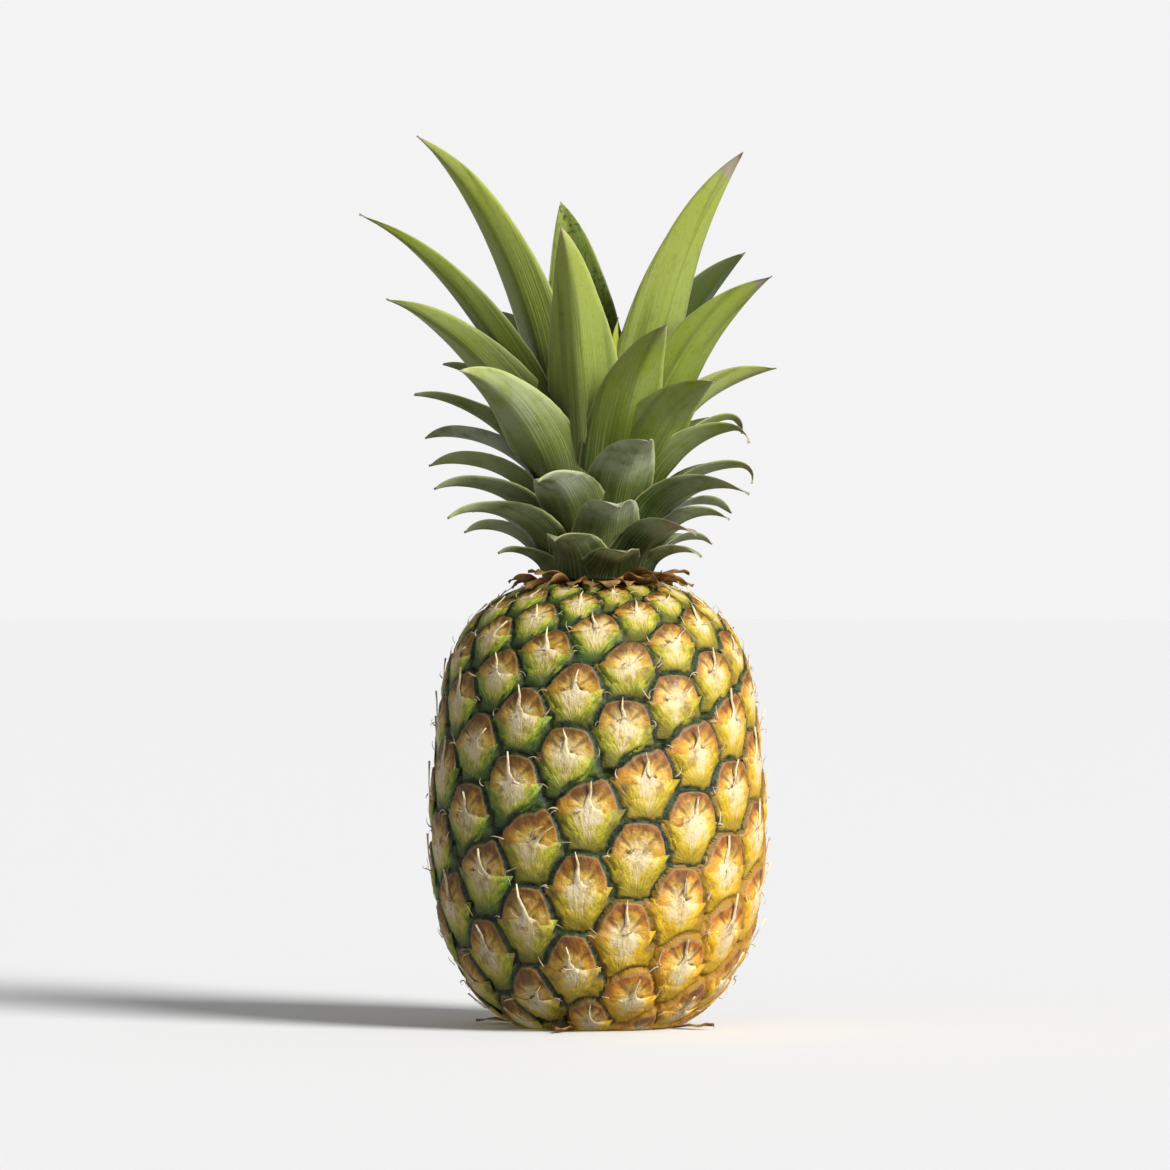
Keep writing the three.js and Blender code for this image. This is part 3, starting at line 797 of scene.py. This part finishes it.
rindColours = {
    # by the distance from the middle of the disc, and by the depth down the bract: ripe and unripe, the
    # darker unripe colours also standing for painted shade on the left side
    "disc": ([(0.0, (0.88, 0.73, 0.42)), (0.30, (0.88, 0.65, 0.25)), (0.50, (0.88, 0.56, 0.10)),
              (0.72, (0.82, 0.42, 0.03)), (1.0, (0.70, 0.29, 0.02))],
             [(0.0, (0.82, 0.67, 0.38)), (0.30, (0.76, 0.56, 0.22)), (0.50, (0.70, 0.47, 0.09)),
              (0.72, (0.54, 0.31, 0.025)), (1.0, (0.40, 0.22, 0.02))]),
    # the unripe bract darkens nearly to black towards its foot, partly its own green and partly painted shade
    "bract": ([(0.0, (0.84, 0.68, 0.40)), (0.25, (0.84, 0.63, 0.28)), (0.42, (0.90, 0.56, 0.05)),
               (0.60, (0.88, 0.46, 0.012)), (0.80, (0.76, 0.40, 0.010)), (1.0, (0.55, 0.30, 0.010))],
              [(0.0, (0.78, 0.66, 0.40)), (0.25, (0.70, 0.57, 0.27)), (0.42, (0.54, 0.49, 0.07)),
               (0.60, (0.34, 0.39, 0.024)), (0.80, (0.14, 0.22, 0.014)), (1.0, (0.045, 0.09, 0.008))]),
    # rust with painted shade towards the upper edge of the disc
    "rustAndShade": ((0.48, 0.12, 0.010), (0.17, 0.062, 0.010)),
    # the foot and the low edge of the bract: the dark green is partly painted shade by the groove
    "foot": ((0.70, 0.42, 0.010), (0.032, 0.075, 0.008)),
    "lowEdgeAndShade": ((0.46, 0.28, 0.012), (0.04, 0.07, 0.010)),
    "rim": ((0.50, 0.44, 0.20), (0.27, 0.29, 0.13)),
    # a brown patch with painted shade in the upper middle of the disc
    "coreAndShade": (0.12, 0.042, 0.010),
    # painted shade in the creases between the lobes
    "creaseShade": (0.17, 0.07, 0.014),
    # painted shadow in the pits by the wing line
    "pitShadow": (0.07, 0.028, 0.010),
    "dried": (0.34, 0.18, 0.09),
    "speck": (0.12, 0.048, 0.016),
    "shade": (0.34, 0.18, 0.05),
    # near-black in the grooves: partly their own dark green, partly painted shade in the recess
    "groove": ((0.007, 0.013, 0.003), (0.035, 0.060, 0.008)),
    "goldenGroove": (0.40, 0.20, 0.008),
}


def byRipenessAndLight(tree, ripeAndLit, name, along=None):
    ripeColour, unripeColour = rindColours[name]
    if along:
        ripeColour, unripeColour = ramp(tree, along, ripeColour), ramp(tree, along, unripeColour)
    return mix(tree, ripeAndLit, unripeColour, ripeColour)


def streaksRound(tree, u, v, seed, centre, turns, rings):
    # streaks that run out from a point on the eye
    lowered = minus(tree, v, centre)
    angle = calculate(tree, "ARCTAN2", u, lowered)
    squares = plus(tree, times(tree, u, u), times(tree, lowered, lowered))
    distance = calculate(tree, "SQRT", squares)
    parts = {"X": times(tree, angle, turns), "Y": times(tree, distance, rings), "Z": times(tree, seed, 40.0)}
    vector = addNode(tree, "ShaderNodeCombineXYZ", parts).outputs[0]
    return noise(tree, vector, 1.0, 5.0, 0.6), angle, distance


def discColour(tree, u, v, edge, ripeAndLit, seed, streaks, angle, rho, blotches, warp):
    # a pale middle, gold, rust with painted shade towards the upper edge and in the upper middle, dark
    # painted shade in the creases between the lobes and painted shadow in the pits by the middle
    shifted = plus(tree, rho, centred(tree, streaks, 1.3))
    shifted = plus(tree, shifted, centred(tree, warp, 1.1))
    shifted = plus(tree, shifted, centred(tree, seed, 0.3))
    disc = byRipenessAndLight(tree, ripeAndLit, "disc", shifted)
    # rust with painted shade towards the upper edge of the disc
    upper = remap(tree, plus(tree, v, centred(tree, streaks, 0.5)), -0.05, 0.55)
    nearEdge = remap(tree, plus(tree, edge, centred(tree, streaks, 14.0)), 5.6, 1.6)
    rustAndShade = times(tree, nearEdge, remap(tree, upper, 0.0, 1.0, 0.3, 0.92))
    disc = mix(tree, rustAndShade, disc, byRipenessAndLight(tree, ripeAndLit, "rustAndShade"))
    # a brown patch with painted shade in the upper middle of the disc
    coreAndShade = times(tree, remap(tree, absolute(tree, u), 0.62, 0.15), remap(tree, v, 0.25, 0.6))
    coreAndShade = times(tree, coreAndShade, remap(tree, blotches, 0.3, 0.55))
    disc = mix(tree, times(tree, coreAndShade, 0.8), disc, rindColours["coreAndShade"])
    # painted shade in the creases between the lobes
    fromCrease = absolute(tree, minus(tree, absolute(tree, angle), eye["creaseAngle"]))
    creaseShade = times(tree, remap(tree, fromCrease, 0.2, 0.02), remap(tree, rho, 0.2, 0.5))
    disc = mix(tree, times(tree, creaseShade, 0.75), disc, rindColours["creaseShade"])
    # painted shadow in the pits by the wing line, near the middle
    pitShadows = times(tree, remap(tree, warp, 0.52, 0.62), remap(tree, absolute(tree, v), 0.22, 0.05))
    pitShadows = times(tree, pitShadows, remap(tree, absolute(tree, u), 0.6, 0.3))
    return mix(tree, times(tree, pitShadows, 0.85), disc, rindColours["pitShadow"])


def bractColour(tree, u, v, edge, ripeAndLit, streaks, blotches):
    # pale at the fold over the disc, yellow, then green down to the foot, darkened at the foot and by the
    # groove, partly as painted shade
    drop = minus(tree, -0.18, v)
    fibres = centred(tree, streaks, 1.3)
    depth = plus(tree, times(tree, drop, 0.62), calculate(tree, "POWER", absolute(tree, u), 1.5))
    depth = plus(tree, plus(tree, depth, fibres), centred(tree, blotches, 1.2))
    lower = byRipenessAndLight(tree, ripeAndLit, "bract", remap(tree, depth, -0.1, 1.12, kind="LINEAR"))
    # the foot turns deep green: partly its own colour, partly painted shade where it tucks into the groove
    foot = remap(tree, plus(tree, drop, times(tree, fibres, 0.3)), 0.45, 1.05)
    lower = mix(tree, times(tree, foot, 0.85), lower, byRipenessAndLight(tree, ripeAndLit, "foot"))
    # by the groove the low edge darkens: partly its own colour, partly painted shade
    lowEdgeAndShade = times(tree, remap(tree, edge, 1.7, 0.6), 0.7)
    lower = mix(tree, lowEdgeAndShade, lower, byRipenessAndLight(tree, ripeAndLit, "lowEdgeAndShade"))
    driedPatch = times(tree, remap(tree, blotches, 0.5, 0.66), remap(tree, drop, 0.6, 0.0))
    return mix(tree, times(tree, driedPatch, 0.6), lower, rindColours["dried"])


def rindMaterial():
    # one skin for the eyes and for the bracts over them, laid out round the middle of each eye
    material, tree, shader = newMaterial("rindSkin")
    u, v = patternPlace(tree, "eyePattern")[:2]
    names = ("eyeSeed", "ripenessAndShade", "groove", "onBract")
    seed, ripeAndLit, groove, onBract = (attribute(tree, name) for name in names)
    place = objectPlace(tree)
    blotches = noise(tree, place, 150.0, 4.0, 0.65)
    fine = noise(tree, place, 620.0, 3.0, 0.7)
    warp = noise(tree, place, 260.0, 2.0, 0.6)
    u = plus(tree, u, centred(tree, warp, 0.16))
    v = plus(tree, v, centred(tree, blotches, 0.14))
    edge = plus(tree, groove, centred(tree, blotches, 1.6))
    streaks, angle, rho = streaksRound(tree, u, v, seed, 0.0, 3.4, 2.6)
    lowStreaks = streaksRound(tree, u, v, seed, -1.35, 9.5, 2.4)[0]
    disc = discColour(tree, u, v, edge, ripeAndLit, seed, streaks, angle, rho, blotches, warp)
    lower = bractColour(tree, u, v, edge, ripeAndLit, lowStreaks, blotches)
    isBract = calculate(tree, "MAXIMUM", onBract, remap(tree, v, -0.12, -0.26))
    colour = mix(tree, isBract, disc, lower)

    rim = times(tree, remap(tree, edge, 1.7, 1.2), minus(tree, 1.0, isBract))
    colour = mix(tree, times(tree, rim, 0.35), colour, byRipenessAndLight(tree, ripeAndLit, "rim"))
    specks = times(tree, remap(tree, fine, 0.60, 0.70), remap(tree, rho, 0.9, 0.1))
    colour = mix(tree, times(tree, specks, 0.7), colour, rindColours["speck"])
    shade = times(tree, remap(tree, blotches, 0.45, 0.75), 0.3)
    colour = mix(tree, shade, colour, rindColours["shade"], "MULTIPLY")
    # the grooves are painted near-black, partly their own dark green and partly painted shade; golden where
    # the fruit is ripe
    inGroove = remap(tree, plus(tree, edge, times(tree, fine, 0.9)), 1.75, 0.9)
    grooveColourAndShade = mix(tree, remap(tree, warp, 0.4, 0.62), *rindColours["groove"])
    grooveColourAndShade = mix(tree, remap(tree, ripeAndLit, 0.55, 0.95), grooveColourAndShade, rindColours["goldenGroove"])
    colour = mix(tree, inGroove, colour, grooveColourAndShade)
    wrinkles = plus(tree, mixValue(tree, isBract, streaks, lowStreaks), times(tree, fine, 0.6))
    setInputs(tree, shader, {
        "Base Color": colour,
        "Roughness": remap(tree, fine, 0.3, 0.7, 0.44, 0.66),
        "Subsurface Weight": 0.06,
        "Subsurface Radius": (0.003, 0.0015, 0.0006),
        "Specular IOR Level": 0.4,
        "Normal": bump(tree, wrinkles, 0.0009, 0.8),
    })
    return material


leafColours = {
    # from base to tip: the lowest and the innermost leaves, on the upper side, then on the under side; darker
    # near the base as painted shade where the leaves overlap
    "upper": ([(0.0, (0.10, 0.13, 0.03)), (0.3, (0.055, 0.09, 0.016)), (0.8, (0.09, 0.135, 0.022)),
               (1.0, (0.20, 0.19, 0.06))],
              [(0.0, (0.22, 0.25, 0.04)), (0.3, (0.12, 0.165, 0.010)), (0.8, (0.15, 0.20, 0.012)),
               (1.0, (0.28, 0.30, 0.07))]),
    "under": ([(0.0, (0.008, 0.012, 0.004)), (0.3, (0.026, 0.042, 0.010)), (0.55, (0.10, 0.145, 0.032)),
               (0.8, (0.20, 0.26, 0.07)), (1.0, (0.32, 0.33, 0.13))],
              [(0.0, (0.02, 0.03, 0.006)), (0.25, (0.05, 0.075, 0.006)), (0.5, (0.22, 0.29, 0.014)),
               (0.85, (0.34, 0.42, 0.030)), (1.0, (0.44, 0.45, 0.12))]),
    "pale": (0.46, 0.50, 0.17),
    "vein": (0.40, 0.44, 0.15),
    "stripe": (0.055, 0.085, 0.010),
    # near-black for leaves of low tone, partly painted shade
    "dark": (0.018, 0.032, 0.006),
    "fleck": (0.03, 0.07, 0.006),
    "bloom": (0.66, 0.70, 0.52),
    "margin": (0.50, 0.48, 0.20),
    "dryTip": ((0.16, 0.10, 0.05), (0.62, 0.56, 0.40)),
}


def leafMaterial(name, face):
    material, tree, shader = newMaterial(name)
    u, v = patternPlace(tree, "bladePattern")[:2]
    names = ("leafAge", "leafSeed", "leafToneAndShade", "leafBloom", "leafDry", "leafMottle")
    age, seed, toneAndShade, bloomShare, dryShare, mottled = (attribute(tree, key) for key in names)
    sideways = minus(tree, u, 0.5)

    # the veins close up towards the tip, where the blade narrows
    narrowed = minus(tree, 1.0, calculate(tree, "POWER", v, 2.8))
    spot = {"X": times(tree, sideways, narrowed), "Y": v, "Z": times(tree, seed, 50.0)}
    moved = addNode(tree, "ShaderNodeCombineXYZ", spot).outputs[0]
    veins = noise(tree, stretched(tree, moved, (62, 1.3, 1)), 1.0, 3.0, 0.6)
    broad = noise(tree, stretched(tree, moved, (9, 1.1, 1)), 1.0, 2.0, 0.5)
    clouds = noise(tree, stretched(tree, moved, (3.0, 6, 1)), 1.0, 4.0, 0.6)
    flecks = noise(tree, stretched(tree, moved, (22, 46, 1)), 1.0, 3.0, 0.7)
    # each blade darkens towards its base as painted shade
    outer, inner = (ramp(tree, v, stops) for stops in leafColours[face])
    colour = mix(tree, remap(tree, age, 0.25, 0.75), outer, inner)
    paler = times(tree, remap(tree, toneAndShade, 0.45, 1.0, kind="LINEAR"), 0.75)
    colour = mix(tree, paler, colour, leafColours["pale"])
    detailShare = remap(tree, v, 0.85, 0.45)
    veinShare = times(tree, remap(tree, veins, 0.45, 0.7), times(tree, detailShare, 0.3))
    colour = mix(tree, veinShare, colour, leafColours["vein"])
    stripes = times(tree, remap(tree, broad, 0.5, 0.68), 0.4)
    colour = mix(tree, stripes, colour, leafColours["stripe"])
    # a low tone darkens a leaf towards near-black: partly its own darker green, partly painted shade on
    # leaves in shadow
    darkToneAndShade = times(tree, remap(tree, toneAndShade, 0.4, 0.0, kind="LINEAR"), 0.9)
    colour = mix(tree, darkToneAndShade, colour, leafColours["dark"])
    fleckShare = times(tree, remap(tree, flecks, 0.52, 0.66), mottled)
    colour = mix(tree, fleckShare, colour, leafColours["fleck"])
    bloom = times(tree, bloomShare, remap(tree, clouds, 0.25, 0.6))
    bloom = times(tree, bloom, remap(tree, v, 0.3, 0.62))
    colour = mix(tree, times(tree, bloom, 0.75), colour, leafColours["bloom"])
    across = plus(tree, absolute(tree, sideways), times(tree, clouds, 0.02))
    margin = times(tree, remap(tree, across, 0.475, 0.505), 0.65)
    colour = mix(tree, margin, colour, leafColours["margin"])
    dryLine = plus(tree, dryShare, centred(tree, clouds, 0.05))
    dryTip = remap(tree, minus(tree, minus(tree, 1.0, v), dryLine), 0.008, -0.008)
    colour = mix(tree, dryTip, colour, mix(tree, clouds, *leafColours["dryTip"]))
    relief = times(tree, plus(tree, veins, broad), detailShare)
    setInputs(tree, shader, {
        "Base Color": colour,
        "Roughness": remap(tree, veins, 0.3, 0.7, 0.42, 0.58),
        "Specular IOR Level": 0.14,
        "Normal": bump(tree, relief, 0.0006, 0.6),
    })
    return material


def threadMaterial():
    material, tree, shader = newMaterial("dryThread")
    v = patternPlace(tree, "bladePattern")[1]
    place = objectPlace(tree)
    mottle = noise(tree, place, 300.0, 3.0, 0.6)
    colour = ramp(tree, v, [(0.0, (0.55, 0.42, 0.22)), (0.5, (0.70, 0.60, 0.42)), (1.0, (0.62, 0.50, 0.34))])
    colour = mix(tree, times(tree, remap(tree, mottle, 0.45, 0.7), 0.6), colour, (0.25, 0.13, 0.05))
    normal = bump(tree, mottle, 0.0003, 0.5)
    setInputs(tree, shader, {"Base Color": colour, "Roughness": 0.7, "Normal": normal})
    return material


def dryMaterial():
    material, tree, shader = newMaterial("dryBract")
    v, uv = patternPlace(tree, "bladePattern")[1:]
    place = objectPlace(tree)
    fibres = noise(tree, stretched(tree, uv, (30, 2, 1)), 1.0, 4.0, 0.65)
    mottle = noise(tree, place, 160.0, 3.0, 0.6)
    colour = ramp(tree, plus(tree, v, centred(tree, mottle, 1.1)), [
        (0.0, (0.07, 0.035, 0.012)), (0.3, (0.30, 0.11, 0.02)),
        (0.65, (0.58, 0.33, 0.09)), (1.0, (0.26, 0.13, 0.04))])
    colour = mix(tree, times(tree, remap(tree, fibres, 0.4, 0.65), 0.6), colour, (0.09, 0.05, 0.022))
    normal = bump(tree, fibres, 0.0006, 0.8)
    setInputs(tree, shader, {"Base Color": colour, "Roughness": 0.75, "Normal": normal})
    return material


def fleshMaterial(name, pale, dark):
    material, tree, shader = newMaterial(name)
    place = objectPlace(tree)
    fibres = noise(tree, place, 700.0, 3.0, 0.6)
    rings = noise(tree, place, 120.0, 2.0, 0.5)
    colour = mix(tree, remap(tree, fibres, 0.35, 0.65), pale, dark)
    colour = mix(tree, times(tree, remap(tree, rings, 0.4, 0.7), 0.5), colour, dark)
    normal = bump(tree, fibres, 0.0006, 0.8)
    setInputs(tree, shader, {"Base Color": colour, "Roughness": 0.8, "Normal": normal})
    return material


studio = {
    "cameraDistance": 2.6,
    "frameHeight": 0.4329,
    "centre": (-0.0048, 0.1632),
    "floorRadius": 30.0,
    "sun": 4.5,
    "sunAngle": 24,
    "sunTurn": 50,  # to the right of the camera
    "sunHeight": 30,
    "horizon": 0.9,
    "below": 0.25,
    "dome": 0.25,
}


def buildStudio():
    scene = bpy.context.scene
    bm = bmesh.new()
    bmesh.ops.create_circle(bm, cap_ends=True, segments=96, radius=studio["floorRadius"])
    mesh = bpy.data.meshes.new("studioFloor")
    bm.to_mesh(mesh)
    bm.free()
    floor = bpy.data.objects.new("studioFloor", mesh)
    material, tree, shader = newMaterial("paleFloor")
    setInputs(tree, shader, {"Base Color": (0.95, 0.95, 0.95, 1), "Roughness": 0.8})
    mesh.materials.append(material)
    scene.collection.objects.link(floor)
    floor.visible_diffuse = False  # so that it throws no light up under the leaves

    # a dome that is brightest in a band round the horizon
    world = bpy.data.worlds.new("studioWorld")
    world.use_nodes = True
    tree = world.node_tree
    direction = addNode(tree, "ShaderNodeTexCoord").outputs["Generated"]
    height = addNode(tree, "ShaderNodeSeparateXYZ", {0: direction}).outputs["Z"]
    above = remap(tree, height, 0.09, 0.16, studio["horizon"], studio["dome"])
    below = remap(tree, height, -0.09, -0.12, 0.0, studio["horizon"] - studio["below"])
    strength = minus(tree, above, below)
    setInputs(tree, tree.nodes["Background"], {"Strength": strength, "Color": (1, 1, 1, 1)})
    scene.world = world
    scene.view_settings.view_transform = "Standard"

    data = bpy.data.lights.new("keySun", "SUN")
    data.energy = studio["sun"]
    data.angle = math.radians(studio["sunAngle"])
    sun = bpy.data.objects.new("keySun", data)
    turn, lift = math.radians(studio["sunTurn"]), math.radians(studio["sunHeight"])
    towards = Vector((math.sin(turn) * math.cos(lift), -math.cos(turn) * math.cos(lift), math.sin(lift)))
    sun.rotation_euler = (-towards).to_track_quat("-Z", "Y").to_euler()
    scene.collection.objects.link(sun)

    camera = bpy.data.cameras.new("camera")
    camera.sensor_width = 36
    camera.lens = 36 * studio["cameraDistance"] / studio["frameHeight"]
    holder = bpy.data.objects.new("camera", camera)
    holder.location = (studio["centre"][0], -studio["cameraDistance"], studio["centre"][1])
    holder.rotation_euler = (math.pi / 2, 0, 0)
    scene.collection.objects.link(holder)
    scene.camera = holder


skin = rindMaterial()
buildFruit([skin])
print("fruit done")
buildBracts([skin])
buildWisps([threadMaterial()])
print("bracts and dry threads done")
leafSides = [leafMaterial("leafUpper", "upper"), leafMaterial("leafUnder", "under")]
for number, plan in enumerate(leafPlan, 1):
    buildLeaf(number, plan, leafSides)
print("leaves done")
dry = dryMaterial()
buildCollar([dry, dry])
buildFoot([dry, dry])
# the stem is painted nearly black, as painted shadow among the leaf bases
buildStem([fleshMaterial("stemSkinInShadow", (0.06, 0.07, 0.02), (0.03, 0.035, 0.01))])
buildStalk([fleshMaterial("cutStalk", (0.55, 0.44, 0.24), (0.28, 0.18, 0.08))])
print("collar, foot, stem and stalk done")
buildStudio()
print("studio done")
